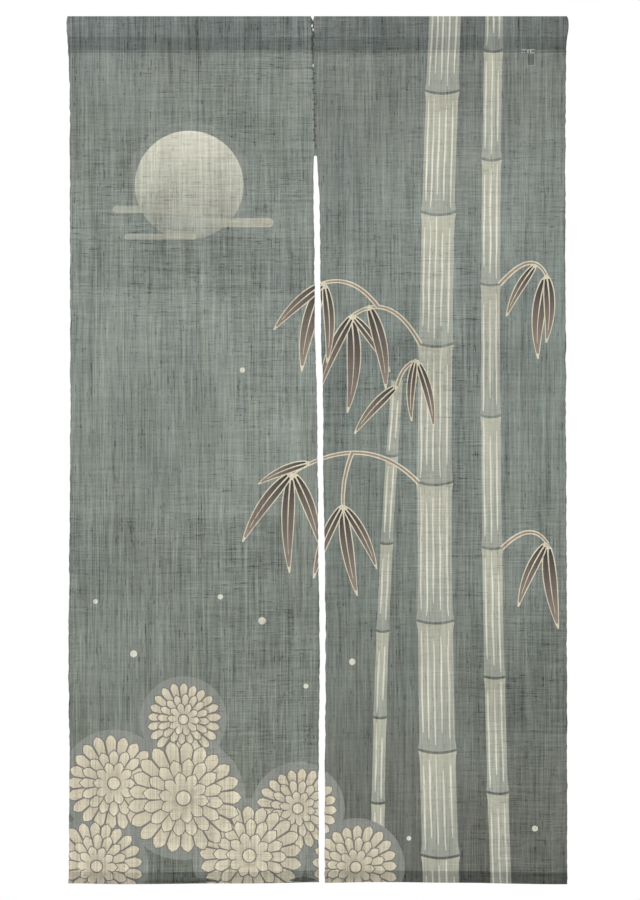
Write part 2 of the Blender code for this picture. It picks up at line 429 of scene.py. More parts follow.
def internode(culm, top, foot):
    """One length of the culm, with its ends bowed."""
    heights = spread(top, foot, round((foot - top) / CULM_STEP))
    left = [(culm_middle(culm, b) - culm_half(culm, b), b) for b in heights]
    right = [(culm_middle(culm, b) + culm_half(culm, b), b) for b in heights]

    def bowed(below):
        half, middle = culm_half(culm, below), culm_middle(culm, below)
        shares = spread(-1, 1, BOW_STEPS)[1:-1]
        return [(middle + half * s, below + (1 - s * s) * culm.width * JOINT_SAG) for s in shares]

    return left + bowed(foot) + right[::-1] + bowed(top)[::-1]


def short_by(short, line, number):
    """How far this line of this internode stops short, different from one to the next."""
    return short.least + short.step * ((short.turn * line + number) % short.ways)


for culm in CULMS:
    cuts = [culm.top, *culm.joints, CULM_FOOT]
    for number, (top, foot) in enumerate(zip(cuts, cuts[1:])):
        top, foot = top + JOINT_GAP / 2, foot - JOINT_GAP / 2
        draw(internode(culm, top, foot), PALE, WASH, start=(0, top), end=(0, foot), covers=CULM_COVERS)
        for line, share in enumerate(culm.lines):
            start = top + short_by(SHORT_OF_TOP, line, number)
            stop = foot - short_by(SHORT_OF_FOOT, line, number)
            steps = max(LEAST_STEPS, round((stop - start) / LINE_STEP))
            spine = []
            for below in spread(start, stop, steps):
                sway = LINE_SWAY.by * noise.noise(Vector((below / LINE_SWAY.over, line, number)))
                spine.append((culm_middle(culm, below) + share * culm_half(culm, below) + sway, below))
            pointed = [math.sin(math.pi * (n + LINE_CUT) / (steps + 2 * LINE_CUT)) for n in range(steps + 1)]
            draw(ribbon(spine, [LINE_WIDTH / 2 * p**LINE_BLUNT for p in pointed]), CREAM)

# What repeats by hand differs a little each time: by up to this much, on a sine of its number
Uneven = namedtuple("Uneven", "by turn")


def uneven(kind, number, offset=0.0):
    return kind.by * math.sin(kind.turn * number + offset)


# The hanging sprays: twigs that leave the joints, and leaves given by the place that each grows
# from, its heading in degrees (0 is straight down, + is to the right) and its length
Twig = namedtuple("Twig", "start through end")
TWIGS = (
    Twig(Vector((178, 568)), Vector((126, 470)), Vector((58, 520))),
    Twig(Vector((104, 502)), Vector((62, 446)), Vector((10, 462))),
    Twig(Vector((175, 808)), Vector((84, 712)), Vector((-46, 792))),
    Twig(Vector((60, 756)), Vector((42, 800)), Vector((44, 850))),
    Twig(Vector((315, 464)), Vector((372, 398)), Vector((396, 448))),
    Twig(Vector((138, 640)), Vector((146, 604)), Vector((172, 596))),
    Twig(Vector((319, 920)), Vector((370, 868)), Vector((398, 912))),
)
Leaf = namedtuple("Leaf", "x below heading length")
LEAVES = (
    Leaf(58, 520, 8, 168),
    Leaf(62, 516, -34, 150),
    Leaf(60, 518, 44, 118),
    Leaf(88, 500, 22, 150),
    Leaf(10, 462, -24, 158),
    Leaf(14, 461, -58, 122),
    Leaf(12, 463, 12, 138),
    Leaf(-46, 792, -6, 172),
    Leaf(-44, 790, -46, 148),
    Leaf(-42, 791, 30, 132),
    Leaf(-14, 773, -78, 96),
    Leaf(44, 850, 4, 156),
    Leaf(44, 846, -32, 138),
    Leaf(45, 848, 38, 124),
    Leaf(396, 448, -16, 146),
    Leaf(396, 447, 10, 118),
    Leaf(378, 429, -40, 104),
    Leaf(172, 596, 24, 122),
    Leaf(170, 594, -14, 108),
    Leaf(138, 640, -52, 112),
    Leaf(398, 912, 2, 148),
    Leaf(396, 910, -34, 122),
)
TWIG_WIDTH = 3.4
TWIG_ROOT = 1.15  # of its width, where it starts
TWIG_TAPER = 0.5  # of its width, lost by its end
TWIG_STEPS = 18
LEAF_WIDTH = 0.13  # of its length
LEAF_UNEVEN = Uneven(by=0.12, turn=5.1)
LEAF_BEND = 22  # degrees that its tip turns back towards straight down
UPRIGHT = 6  # degrees within which a leaf has half that bend
LEAF_STEPS = 16
LEAF_FULL = 0.72  # under 1, its widest place is nearer its stalk
LEAF_BLUNT = 0.85  # under 1, its ends are blunter
DRAWN_LINE = 2.2  # the light line round each leaf and twig
LINE_THINS = 0.45  # of it, by the leaf's tip
RIB_ROOT = 1.1
RIB_TIP = 0.25

for twig in TWIGS:
    shares = spread(0, 1, TWIG_STEPS)
    curved = [(1 - t) ** 2 * twig.start + 2 * t * (1 - t) * twig.through + t * t * twig.end for t in shares]
    spine = [tuple(point) for point in curved]
    for grown, colour in ((DRAWN_LINE, LIGHT), (0.0, MAUVE_BROWN)):
        draw(ribbon(spine, [TWIG_WIDTH / 2 * (TWIG_ROOT - TWIG_TAPER * t) + grown for t in shares]), colour)
for number, leaf in enumerate(LEAVES):
    width = leaf.length * LEAF_WIDTH * (1 + uneven(LEAF_UNEVEN, number))
    bend = -math.copysign(LEAF_BEND, leaf.heading) if abs(leaf.heading) > UPRIGHT else LEAF_BEND / 2
    step = leaf.length / LEAF_STEPS
    spine = [(leaf.x, leaf.below)]
    for n in range(LEAF_STEPS):
        heading = math.radians(leaf.heading + bend * n / LEAF_STEPS)
        spine.append((spine[-1][0] + step * math.sin(heading), spine[-1][1] + step * math.cos(heading)))
    shares = spread(0, 1, LEAF_STEPS)
    halves = [width / 2 * max(0.0, math.sin(math.pi * t**LEAF_FULL)) ** LEAF_BLUNT for t in shares]
    lined = [half + DRAWN_LINE * (1 - LINE_THINS * t) for half, t in zip(halves, shares)]
    draw(ribbon(spine, lined), LIGHT)
    draw(ribbon(spine[1:-1], halves[1:-1]), CHARCOAL, MAUVE_BROWN, start=spine[1], end=spine[-1])
    rib = spine[1:-3]
    draw(ribbon(rib, [RIB_ROOT * (1 - n / len(rib)) + RIB_TIP for n in range(len(rib))]), LIGHT)

# The chrysanthemums by the hem, each with rings of petals from one share of its radius to another
Bloom = namedtuple("Bloom", "x below radius turned")
BLOOMS = (
    Bloom(-232, 1216, 60, 5),
    Bloom(-34, 1372, 66, 11),
    Bloom(-352, 1326, 78, 0),
    Bloom(-118, 1452, 84, 3),
    Bloom(66, 1474, 70, 7),
    Bloom(-232, 1352, 92, 8),
    Bloom(-382, 1470, 74, 2),
)
Ring = namedtuple("Ring", "petals inner outer")
RINGS = (Ring(21, 0.52, 1.0), Ring(16, 0.3, 0.69), Ring(10, 0.1, 0.42))
PETAL_GAP = 4.4
PETAL_STEPS = 6
PETAL_UNEVEN = Uneven(by=0.035, turn=7.3)
PETAL_ROOT = 0.42  # of its full half width, where it starts
PETAL_SWELL = 0.62  # of it, gained on the way out
PETAL_FULL = 0.8  # under 1, it swells nearer its root
PETAL_SHOULDER = 0.62  # of it, where the rounded tip begins
PETAL_TIP = 0.45  # of it, that the tip stands out
BLOOM_HALO = 15
HALO_POINTS = 56
HALO_COVERS = (0.9, 0.9)
HEART = 0.13
HEART_POINTS = 18


def petal(bloom, ring, number, grown):
    """The outline of a petal, grown by this much all round, and the ends of its spine."""
    turn = 2 * math.pi * (number + 0.5 * (ring.petals % 2)) / ring.petals + math.radians(bloom.turned)
    out = Vector((math.cos(turn), math.sin(turn)))
    inner, outer = ring.inner * bloom.radius, ring.outer * bloom.radius
    reach = outer * (1 + uneven(PETAL_UNEVEN, number, bloom.x))
    half = math.pi * outer / ring.petals - PETAL_GAP / 2
    spine, halves = [], []
    for t in spread(0, 1, PETAL_STEPS):
        full = PETAL_ROOT + PETAL_SWELL * t**PETAL_FULL if t < 1 else PETAL_SHOULDER
        spine.append(tuple(Vector((bloom.x, bloom.below)) + out * (inner + (reach - inner) * t)))
        halves.append(half * full + grown)
    body = ribbon(spine, halves)
    tip = tuple(Vector(spine[-1]) + out * (grown + PETAL_TIP * half))
    return body[: PETAL_STEPS + 1] + [tip] + body[PETAL_STEPS + 1 :], spine[0], spine[-1]


for bloom in BLOOMS:
    halo = circle(bloom.x, bloom.below, bloom.radius + BLOOM_HALO, HALO_POINTS)
    draw(halo, HALO, covers=HALO_COVERS)
for bloom in BLOOMS:
    for ring in RINGS:
        for grown, colours in ((PETAL_GAP / 2, (MAUVE_GREY, MAUVE_GREY)), (0.0, (BEIGE, LIGHT))):
            for number in range(ring.petals):
                outline, start, end = petal(bloom, ring, number, grown)
                draw(outline, *colours, start=start, end=end)
    for grown, colour in ((PETAL_GAP / 2, MAUVE_GREY), (0.0, LIGHT)):
        draw(circle(bloom.x, bloom.below, HEART * bloom.radius + grown, HEART_POINTS), colour)

# Drops of dew
Drop = namedtuple("Drop", "x below radius")
DROPS = (
    Drop(-96, 1046, 6.5),
    Drop(-168, 1004, 4.6),
    Drop(-318, 1102, 6.0),
    Drop(-384, 1012, 4.2),
    Drop(60, 1118, 5.6),
    Drop(-20, 1160, 4.4),
    Drop(376, 1404, 5.2),
    Drop(-130, 612, 4.6),
    Drop(158, 1424, 4.0),
)
DROP_POINTS = 16
for drop in DROPS:
    draw(circle(*drop, DROP_POINTS), DEW)

# Painted shade where the cloth lies doubled and less light comes through it: the painted shade of each band
# down it, with a painted highlight on the lighter edge of the turned-in end and painted shade in the crease
# under the sleeve
PaintedShadeBand = namedtuple("PaintedShadeBand", "top foot shade")
PAINTED_SHADE_BANDS = (
    PaintedShadeBand(top=0, foot=36, shade=(0.87, 0.88, 0.92)),
    PaintedShadeBand(top=36, foot=58.6, shade=(0.72, 0.74, 0.775)),
    PaintedShadeBand(top=58.6, foot=60.8, shade=(0.98, 0.98, 1.0)),
    PaintedShadeBand(top=60.8, foot=63, shade=(0.84, 0.84, 0.84)),
    PaintedShadeBand(top=DROP - HEM, foot=DROP, shade=(0.68, 0.69, 0.71)),
)

WIDTH = 430.0  # of each flat width of cloth
ROW_STEP = 10.0
COLUMN_STEP = 10.5
SELVEDGE_STEP = 2.5
EDGE_CLEAR = 3.0  # the grid's points keep this far from the selvedges
BEND_STEPS = 7
FOLD_STEPS = 4
MERGE = 0.02  # points of the plan that are nearer than this become one


def crease_rows():
    """The lines straight across the cloth where it turns, or where a band of painted shade ends."""
    bends = (
        (-quarter, 2 * quarter, 2 * BEND_STEPS),
        (-to_foot - small_turn, small_turn, FOLD_STEPS),
        (to_hem_fold, hem_turn, FOLD_STEPS),
        (hem_back, small_turn, FOLD_STEPS),
    )
    rows = {start + length * n / steps for start, length, steps in bends for n in range(steps + 1)}
    rows.add(to_foot)
    for band in PAINTED_SHADE_BANDS:
        for below in (band.top, band.foot):
            if 0 < below < DROP:
                rows.add(along_front(below))
            if 0 < below < STITCHED:
                rows.add(-along_front(below))
    return sorted(rows)


def plain_rows(creases):
    """The lines for the grid's points between the creases."""
    stops = [first_edge, *creases, last_edge]
    rows = []
    for low, high in zip(stops, stops[1:]):
        rows += spread(low, high, max(1, round((high - low) / ROW_STEP)))[1:-1]
    return rows


def edge_at(edge, along):
    return selvedge(edge, section(along)[1])


def shade_at(along):
    below = section(along)[1]
    return next((band.shade for band in PAINTED_SHADE_BANDS if band.top <= below < band.foot), (1.0, 1.0, 1.0))


def dye_and_painted_light_at(dye_and_painted_light, x, below):
    """Linear RGB and cover of the dye and painted light at this place."""
    if dye_and_painted_light is None:
        return (0.0, 0.0, 0.0, 0.0)
    run = dye_and_painted_light.end - dye_and_painted_light.start
    t = min(1.0, max(0.0, (Vector((x, below)) - dye_and_painted_light.start).dot(run) / run.length_squared))
    return (*dye_and_painted_light.first.lerp(dye_and_painted_light.last, t), dye_and_painted_light.covers[0] + (dye_and_painted_light.covers[1] - dye_and_painted_light.covers[0]) * t)


def surrounds(outline, spot):
    """Whether the outline runs round the spot."""
    inside = False
    for a, b in zip(outline, outline[1:] + outline[:1]):
        if (a[1] > spot.y) != (b[1] > spot.y):
            crossing = a[0] + (b[0] - a[0]) * (spot.y - a[1]) / (b[1] - a[1])
            inside ^= spot.x < crossing
    return inside


def plan_of(start, end):
    """The flat plan of a width, cut along its creases, its dyed areas and its areas of painted light.

    Gives its points, its triangles, each with the dye and painted light on it, and which points are on its
    rim.
    """
    creases = crease_rows()
    stations = set(spread(first_edge, last_edge, round((last_edge - first_edge) / SELVEDGE_STEP)))
    stations = sorted(stations | set(creases) | {along_front(SEAM_END), along_front(SEAM_END + SLIT_OPENS)})
    points = [(edge_at(start, along), -along) for along in stations]
    points += [(edge_at(end, along), -along) for along in reversed(stations)]
    rim = len(points)
    faces = [list(range(rim))]
    edges = []
    for along in creases:
        left, right = edge_at(start, along), edge_at(end, along)
        columns = round((right - left) / COLUMN_STEP)
        edges += [(len(points) + n, len(points) + n + 1) for n in range(columns)]
        points += [(x, -along) for x in spread(left, right, columns)]
    for along in plain_rows(creases):
        left, right = edge_at(start, along) + EDGE_CLEAR, edge_at(end, along) - EDGE_CLEAR
        points += [(x, -along) for x in spread(left, right, round((right - left) / COLUMN_STEP))]
    layers = [(points[:rim], None)]
    low, high = min(p[0] for p in points), max(p[0] for p in points)
    for outline, dye_and_painted_light in dye_and_painted_light_areas:
        if max(p[0] for p in outline) < low or min(p[0] for p in outline) > high:
            continue
        area = [(x, -along_front(below)) for x, below in outline]
        if sum(a[0] * b[1] - b[0] * a[1] for a, b in zip(area, area[1:] + area[:1])) < 0:
            area.reverse()
        faces.append(list(range(len(points), len(points) + len(area))))
        points += area
        layers.append((area, dye_and_painted_light))
    made = delaunay_2d_cdt([Vector(p) for p in points], edges, faces, 1, MERGE, True)
    kept = []
    for triangle, inside in zip(made[2], made[5]):
        if 0 not in inside:
            continue
        # Outlines that nearly touch can be listed too widely, so each is tested at the middle
        middle = (made[0][triangle[0]] + made[0][triangle[1]] + made[0][triangle[2]]) / 3
        over = [layers[n] for n in sorted(inside, reverse=True)]
        dye_and_painted_light = next((dye_and_painted_light for outline, dye_and_painted_light in over if surrounds(outline, middle)), None)
        kept.append((triangle, dye_and_painted_light))
    on_rim = [any(n < rim for n in sources) for sources in made[3]]
    return made[0], kept, on_rim


def thickened(name, shape, thickness):
    """A piece of this thickness, from the shape of the surface at its middle."""
    mesh = bpy.data.meshes.new(name)
    shape.to_mesh(mesh)
    shape.free()
    piece = bpy.data.objects.new(name, mesh)
    bpy.context.scene.collection.objects.link(piece)
    bpy.ops.object.select_all(action="DESELECT")
    piece.select_set(True)
    bpy.context.view_layer.objects.active = piece
    body = piece.modifiers.new("thickness", "SOLIDIFY")
    body.thickness = thickness * MM
    body.offset = 0
    bpy.ops.object.modifier_apply(modifier=body.name)
    return piece


def cloth(side, start, end):
    """A width of cloth, with its dye, its painted light and its painted shade kept on the corners of its
    faces.
    """
    plan, triangles, on_rim = plan_of(start, end)
    shape = bmesh.new()
    weave_uv = shape.loops.layers.uv.new("cloth")
    dye_and_painted_light_layer = shape.loops.layers.float_color.new("dye_and_painted_light")
    shade_layer = shape.loops.layers.float_color.new("shade")
    vertices = [shape.verts.new(hang(side, p.x, -p.y) * MM) for p in plan]
    for triangle, dye_and_painted_light in triangles:
        face = shape.faces.new([vertices[n] for n in triangle])
        face.smooth = True
        shade = shade_at(-sum(plan[n].y for n in triangle) / 3)
        for loop, n in zip(face.loops, triangle):
            x, along = plan[n].x, -plan[n].y
            loop[weave_uv].uv = (x * MM, along * MM)
            # The picture runs straight on over the top edge and round the hem's fold
            below = along if along < 0 else section(min(along, to_hem_fold))[1] + max(0, along - to_hem_fold)
            loop[dye_and_painted_light_layer] = dye_and_painted_light_at(dye_and_painted_light, x, below)
            # The fourth value marks the selvedges, but not where they are laced together
            free = on_rim[n] and (abs(x) > WIDTH / 2 or below > SEAM_END)
            loop[shade_layer] = (*shade, float(free))
    bmesh.ops.delete(shape, geom=[v for v in shape.verts if not v.link_faces], context="VERTS")
    return thickened(f"cloth_{side}", shape, SHEET)


def add(tree, kind, inputs=None, **settings):
    """Adds a node. inputs maps a socket to a value, to an output, or to a node's first output."""
    made = tree.nodes.new(kind)
    for name, value in settings.items():
        setattr(made, name, value)
    for socket, value in (inputs or {}).items():
        if isinstance(value, bpy.types.Node):
            value = value.outputs[0]
        if isinstance(value, bpy.types.NodeSocket):
            tree.links.new(value, made.inputs[socket])
        else:
            made.inputs[socket].default_value = value
    return made


def bare_material(name):
    """A new material and its empty node tree."""
    made = bpy.data.materials.new(name)
    made.use_nodes = True
    made.node_tree.nodes.clear()
    return made, made.node_tree


def finish_with(tree, finish):
    """Ends a material with its surface, and the surface's own values."""
    surface = add(tree, "ShaderNodeBsdfPrincipled", finish)
    add(tree, "ShaderNodeOutputMaterial", {0: surface})


# How uneven the yarns are, a row for each kind. The yarns of the warp run down the cloth, and
# those of the weft across it. Their pitch is drawn coarser than the real one, about 1.2 mm, so
# that it shows; "long" is how far a light or dark stretch of a yarn runs. The last row is the
# length of cloth woven from one bobbin, before the next one's slightly different yarn
Yarn = namedtuple("Yarn", "set pitch long strength")
YARNS = (
    Yarn("warp", pitch=1.8, long=85, strength=0.56),  # fine warp
    Yarn("warp", pitch=1.8, long=900, strength=0.30),  # whole warp ends
    Yarn("warp", pitch=3.4, long=260, strength=0.20),  # warp laid in pairs
    Yarn("weft", pitch=1.7, long=44, strength=0.34),  # fine weft
    Yarn("weft", pitch=1.7, long=300, strength=0.22),  # whole weft picks
    Yarn("weft", pitch=97, long=3000, strength=0.22),  # bobbins of weft
)

# The slubs, thick places of single yarns that took more dye: how long they are, how rare and
# how dark
Slub = namedtuple("Slub", "set pitch long rare dark")
SLUBS = (
    Slub("weft", pitch=1.7, long=34, rare=0.70, dark=0.32),  # weft slubs
    Slub("warp", pitch=1.8, long=28, rare=0.71, dark=0.36),  # warp slubs
)

# Broad light and dark patches of the dye: their size across and down, and their strength
Patch = namedtuple("Patch", "across down strength")
PATCHES = (
    Patch(across=9, down=320, strength=0.22),  # bands of the warp
    Patch(across=220, down=16, strength=0.12),  # bands of the weft
    Patch(across=60, down=210, strength=0.26),  # unevenly taken dye
    Patch(across=330, down=300, strength=0.14),  # wide clouds
)
NUB = 3.2
NUB_RARE = 0.79
NUB_DARK = 0.45
DARK_OVER = 0.06  # of the noise, over which a slub or nub reaches its full dark
NOISE_ROUGH = 0.6
YARN_SLIDE = 97.0  # each yarn reads its noise from up to this far along it
YARN_APART = 5.37  # and this far across it from the yarn beside

# The size of the stretches where the weft shows less or more, and between which values of their
# noise it goes from the least to the most
WEFT_CALM = (420, 520)
CALM_NOISE = (0.38, 0.62)
CALM_SHOWS = (0.45, 1.2)
WARP_LOW = {"left": 1.45, "right": 1.1}  # how much more the warp shows at the hem than half way
HUE_PATCH = (46, 170)
COOL = (0.96, 1.0, 1.04, 1)
WARM = (1.04, 1.0, 0.96, 1)
YARN_CALM = 0.52  # how much quieter the yarns are where paste lay
PAINTED_SHADE_CALM = 0.2  # and how much quieter the shade of the doubled bands is there
EDGE_DARK = 0.16

# The ground's colour down the cloth, as shares of the drop: the dye's own unevenness, with painted shade
# that makes the right width darker than the left and both darker towards the hem
GroundAndShade = namedtuple("GroundAndShade", "at left right")
GROUND_AND_SHADE = (
    GroundAndShade(at=0.02, left="#838983", right="#7C817B"),
    GroundAndShade(at=0.12, left="#798079", right="#767B75"),
    GroundAndShade(at=0.36, left="#868E87", right="#7E8781"),
    GroundAndShade(at=0.73, left="#798077", right="#737A72"),
    GroundAndShade(at=0.94, left="#72776C", right="#666961"),
)
THREAD_PITCH = 1.2
THREAD_RELIEF = 0.3
RELIEF_DEPTH = 0.4
RIGHT_APART = 3.7  # the right width is another piece of the cloth's weave


def hemp(side):
    """Hand-woven hemp, dyed grey: matt, sheer and slubby, with light and dark yarns."""
    made, tree = bare_material(f"hand_dyed_hemp_{side}")
    uv = add(tree, "ShaderNodeUVMap", uv_map="cloth")
    apart = (0, 0, 0) if side == "left" else (RIGHT_APART, RIGHT_APART, 0)
    place = add(tree, "ShaderNodeVectorMath", {0: uv, 1: apart}, operation="ADD")
    parts = add(tree, "ShaderNodeSeparateXYZ", {0: place}).outputs
    run = {"warp": (parts[0], parts[1]), "weft": (parts[1], parts[0])}

    def field(vector, detail):
        inputs = {"Vector": vector, "Scale": 1.0, "Detail": detail, "Roughness": NOISE_ROUGH}
        return add(tree, "ShaderNodeTexNoise", inputs, noise_dimensions="2D")

    def patches(across, down, detail=2):
        scale = (1 / (across * MM), 1 / (down * MM), 1)
        return field(add(tree, "ShaderNodeVectorMath", {0: place, 1: scale}, operation="MULTIPLY"), detail)

    def each_yarn(kind, detail):
        """Noise along each yarn of the set, and different from one yarn to the next."""
        across, along = run[kind.set]
        counted = add(tree, "ShaderNodeMath", {0: across, 1: kind.pitch * MM}, operation="DIVIDE")
        number = add(tree, "ShaderNodeMath", {0: counted}, operation="FLOOR")
        chance = add(tree, "ShaderNodeTexWhiteNoise", {"W": number}, noise_dimensions="1D")
        stretch = add(tree, "ShaderNodeMath", {0: along, 1: kind.long * MM}, operation="DIVIDE")
        slide = {0: chance, 1: YARN_SLIDE, 2: stretch}
        slid = add(tree, "ShaderNodeMath", slide, operation="MULTIPLY_ADD")
        aside = add(tree, "ShaderNodeMath", {0: number, 1: YARN_APART}, operation="MULTIPLY")
        return field(add(tree, "ShaderNodeCombineXYZ", {0: slid, 1: aside}), detail)

    def swing(value, strength, base):
        """Adds the noise to the base, lighter and darker by up to about this strength."""
        centred = add(tree, "ShaderNodeMath", {0: value, 1: 0.5}, operation="SUBTRACT")
        return add(tree, "ShaderNodeMath", {0: centred, 1: 2 * strength, 2: base}, operation="MULTIPLY_ADD")

    def dark_above(value, rare, dark):
        limits = {0: value, 1: rare, 2: rare + DARK_OVER, 3: 0.0, 4: dark}
        return add(tree, "ShaderNodeMapRange", limits)

    tones = {"warp": 0.0, "weft": 0.0}
    for yarn in YARNS:
        tones[yarn.set] = swing(each_yarn(yarn, 2), yarn.strength, tones[yarn.set])
    for slub in SLUBS:
        darker = dark_above(each_yarn(slub, 1), slub.rare, slub.dark)
        tones[slub.set] = add(tree, "ShaderNodeMath", {0: tones[slub.set], 1: darker}, operation="SUBTRACT")
    along = add(tree, "ShaderNodeSeparateXYZ", {0: uv}).outputs[1]
    down = add(tree, "ShaderNodeMath", {0: along, 1: DROP * MM}, operation="DIVIDE")
    lower = {0: down, 1: 0.5, 2: 1.0, 3: 1.0, 4: WARP_LOW[side]}
    showing = add(tree, "ShaderNodeMapRange", lower)
    warp = add(tree, "ShaderNodeMath", {0: tones["warp"], 1: showing}, operation="MULTIPLY")
    calming = dict(enumerate((patches(*WEFT_CALM, 1), *CALM_NOISE, *CALM_SHOWS)))
    calm = add(tree, "ShaderNodeMapRange", calming)
    tone = add(tree, "ShaderNodeMath", {0: tones["weft"], 1: calm, 2: warp}, operation="MULTIPLY_ADD")
    for patch in PATCHES:
        tone = swing(patches(patch.across, patch.down), patch.strength, tone)
    nubs = dark_above(patches(NUB, NUB, 0), NUB_RARE, NUB_DARK)
    tone = add(tree, "ShaderNodeMath", {0: tone, 1: nubs}, operation="SUBTRACT")

    # The dye, with the painted light of the care label, and how much of the ground it covers
    dye_and_painted_light_colours, cover = add(tree, "ShaderNodeVertexColor", layer_name="dye_and_painted_light").outputs
    shades, edge = add(tree, "ShaderNodeVertexColor", layer_name="shade").outputs
    lively = add(tree, "ShaderNodeMath", {0: cover, 1: -YARN_CALM, 2: 1.0}, operation="MULTIPLY_ADD")
    tone = add(tree, "ShaderNodeMath", {0: tone, 1: lively, 2: 1.0}, operation="MULTIPLY_ADD")
    tone = add(tree, "ShaderNodeMath", {0: edge, 1: -EDGE_DARK, 2: tone}, operation="MULTIPLY_ADD")

    # The ground's grey down the cloth, with its painted shade
    ramp = add(tree, "ShaderNodeValToRGB", {0: down})
    while len(ramp.color_ramp.elements) < len(GROUND_AND_SHADE):
        ramp.color_ramp.elements.new(0.5)
    for element, row in zip(ramp.color_ramp.elements, GROUND_AND_SHADE):
        element.position = row.at
        element.color = (*linear(getattr(row, side)), 1.0)
    hue = add(tree, "ShaderNodeMix", {0: patches(*HUE_PATCH), 6: COOL, 7: WARM}, data_type="RGBA")
    tinted = add(tree, "ShaderNodeVectorMath", {0: ramp, 1: hue.outputs[2]}, operation="MULTIPLY")
    colour = add(tree, "ShaderNodeMix", {0: cover, 6: tinted, 7: dye_and_painted_light_colours}, data_type="RGBA")
    toned = add(tree, "ShaderNodeVectorMath", {0: colour.outputs[2], 3: tone}, operation="SCALE")
    # The painted shade of the doubled bands, made quieter where paste lay
    paste = add(tree, "ShaderNodeMath", {0: cover, 1: PAINTED_SHADE_CALM}, operation="MULTIPLY")
    painted_shade = add(tree, "ShaderNodeMix", {0: paste, 6: shades, 7: (1, 1, 1, 1)}, data_type="RGBA")
    shaded = add(tree, "ShaderNodeVectorMath", {0: toned, 1: painted_shade.outputs[2]}, operation="MULTIPLY")

    threads = add(tree, "ShaderNodeTexChecker", {"Vector": place, "Scale": 1 / (THREAD_PITCH * MM)})
    relief = {0: threads.outputs[1], 1: THREAD_RELIEF, 2: tone}
    height = add(tree, "ShaderNodeMath", relief, operation="MULTIPLY_ADD")
    bumps = {"Height": height, "Strength": 0.35, "Distance": RELIEF_DEPTH * MM}
    bump = add(tree, "ShaderNodeBump", bumps)
    finish = {
        "Base Color": shaded.outputs[0],
        "Roughness": 0.9,
        "Specular IOR Level": 0.18,
        "Alpha": 0.84,
        "Normal": bump.outputs[0],
    }
    finish_with(tree, finish)
    return made


Width = namedtuple("Width", "side start end")
WIDTHS = (Width("left", "left", "inner_left"), Width("right", "inner_right", "right"))
widths = {}
for side, start, end in WIDTHS:
    width = cloth(side, start, end)
    width.data.materials.append(hemp(side))
    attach(width, "root")
    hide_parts(f"panel_{side}", f"sleeve_{side}")
    widths[side] = width

# The lacing of the seam
#
# Dark two-ply hemp thread, crossed from selvedge to selvedge down the sleeve and knotted every
# centimetre below it, joins the widths for 240 mm. Its loose end is under the sleeve's foot, and
# a grey bar tack over the slit's top takes the strain.

# The route down the sleeve: how far to the right of the seam it is, and how proud of the cloth
Lace = namedtuple("Lace", "below across proud")
LACES = (
    Lace(4.8, -2.0, -0.8),
    Lace(6.6, -1.2, 0.5),
    Lace(11.0, 0.1, 0.8),
    Lace(16.5, 1.5, 0.5),
    Lace(19.6, 0.5, 0.8),
    Lace(23.5, -1.8, 0.4),
    Lace(27.0, -0.3, 0.8),
    Lace(31.0, 1.9, 0.4),
    Lace(36.0, 0.3, 0.8),
    Lace(41.5, -1.5, 0.4),
    Lace(47.0, 0.9, 0.7),
    Lace(54.5, -1.2, 0.4),
    Lace(60.9, -0.4, 0.3),
)
LACE_STEP = 1.2
LACE_RADIUS = 0.44
PLY_APART = 0.38  # each ply's distance from the thread's middle
PLY_TURN = 5.0  # the length of one turn of the plies

# A single ply goes on under the sleeve, and the loose end of another lies on the left width
SINGLES = (
    (
        Lace(60.0, -0.6, 0.2),
        Lace(64.0, -0.1, 0.4),
        Lace(72.0, -0.5, 0.4),
        Lace(81.0, -0.1, 0.4),
        Lace(83.5, 0.9, -0.6),
    ),
    (
        Lace(93.5, 1.0, -0.5),
        Lace(91.0, 1.1, 0.3),
        Lace(89.2, -0.2, 0.6),
        Lace(88.3, -3.2, 0.3),
        Lace(88.6, -7.4, 0.3),
        Lace(88.2, -11.8, 0.1),
        Lace(88.5, -14.5, -0.3),
    ),
)
KNOTS = 15
FIRST_KNOT = 98.5
KNOT_PITCH = 9.0
KNOT_UNEVEN = Uneven(by=1.1, turn=2.7)
KNOT_ASIDE = 1.0
KNOT_HALF = 1.7
KNOT_LONGER = Uneven(by=0.15, turn=3.3)
KNOT_SLOPE = 1.1
KNOT_STEPS = 3
KNOT_SHAPE = ((-1.1, -0.8), (-0.7, 0.3), (0, 0.75), (0.7, 0.3), (1.1, -0.8))  # along, and proud
TACK_TOP = 230.8
TACK_ROWS = 9
TACK_PITCH = 1.2
TACK_HALF = 2.3
TACK_LONGER = Uneven(by=0.12, turn=4.1)
TACK_SLOPE = 0.4
TACK_STEPS = 2
TACK_RADIUS = 0.42
TACK_SHAPE = ((-1, -0.5), (-0.9, 0.2), (0, 0.4), (0.9, 0.2), (1, -0.5))


def on_front(side, x, below, proud):
    return hang(side, x, along_front(below)) + Vector((0, -SHEET / 2 - proud, 0))


def on_back(side, x, below, proud):
    along = -along_front(below) if below < STITCHED else along_front(below)
    return hang(side, x, along) + Vector((0, SHEET / 2 + proud, 0))


def rounded(points, steps=4):
    """A smooth line through these points."""
    line = []
    for n in range(len(points) - 1):
        a, b, c, d = (points[max(0, min(len(points) - 1, k))] for k in (n - 1, n, n + 1, n + 2))
        for k in range(steps):
            t = k / steps
            bent = (2 * a - 5 * b + 4 * c - d) * t**2 + (3 * b - a - 3 * c + d) * t**3
            line.append(0.5 * (2 * b + (c - a) * t + bent))
    return line + [points[-1]]


